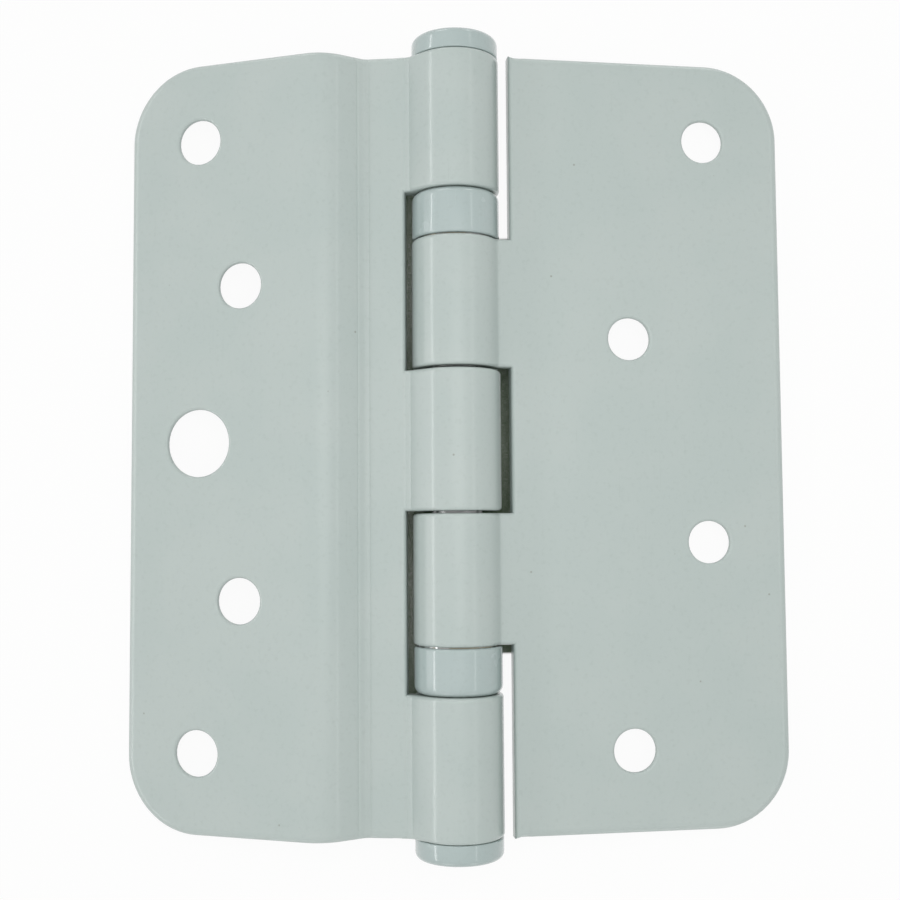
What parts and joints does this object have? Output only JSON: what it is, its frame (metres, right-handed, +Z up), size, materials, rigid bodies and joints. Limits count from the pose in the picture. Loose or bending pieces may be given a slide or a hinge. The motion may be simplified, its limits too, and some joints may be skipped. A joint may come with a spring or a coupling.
{
  "type": "butt hinge",
  "caption": "Painted steel butt hinge with thrust bearings: one cranked leaf, one flat leaf, rounded corners, countersunk screw holes.",
  "frame": {"origin": "on the table that the open hinge lies on, below the middle of the pin", "axes": "+Y along the pin to the top of the hinge, +X towards the flat leaf, +Z up, out of the leaves' back faces"},
  "size_m": [0.0876, 0.1076, 0.0117],
  "materials": {
    "leaf_paint": "gloss powder coat",
    "cap_paint": "gloss powder coat",
    "collar_paint": "gloss powder coat",
    "pin_steel": "ground steel",
    "bearing_steel": "polished bearing steel",
    "cage_brass": "pressed brass"
  },
  "bodies": {
    "cranked_leaf": {"cranked_leaf": "leaf_paint", "hinge_pin": "pin_steel", "top_cap": "cap_paint", "bottom_cap": "cap_paint", "top_bearing_collar": "collar_paint", "bottom_bearing_collar": "collar_paint", "top_bearing_fixed_race": "bearing_steel", "bottom_bearing_fixed_race": "bearing_steel"},
    "flat_leaf": {"flat_leaf": "leaf_paint", "top_bearing_turning_race": "bearing_steel", "bottom_bearing_turning_race": "bearing_steel"},
    "top_balls": {"top_bearing_balls": "bearing_steel", "top_bearing_cage": "cage_brass"},
    "bottom_balls": {"bottom_bearing_balls": "bearing_steel", "bottom_bearing_cage": "cage_brass"}
  },
  "joints": [
    {"name": "leaf_swing", "type": "hinge", "parent": "cranked_leaf", "child": "flat_leaf", "pos_m": [0, 0, 0.00585], "axis": [0, 1, 0], "range_deg": [-135, 163]},
    {"name": "top_balls_roll", "type": "hinge", "parent": "cranked_leaf", "child": "top_balls", "pos_m": [0, 0, 0.00585], "axis": [0, 1, 0], "range_deg": [-67.5, 81.5]},
    {"name": "bottom_balls_roll", "type": "hinge", "parent": "cranked_leaf", "child": "bottom_balls", "pos_m": [0, 0, 0.00585], "axis": [0, 1, 0], "range_deg": [-67.5, 81.5]}
  ],
  "couplings": [
    {"joint": "top_balls_roll", "follows": "leaf_swing", "ratio": 0.5},
    {"joint": "bottom_balls_roll", "follows": "leaf_swing", "ratio": 0.5}
  ]
}
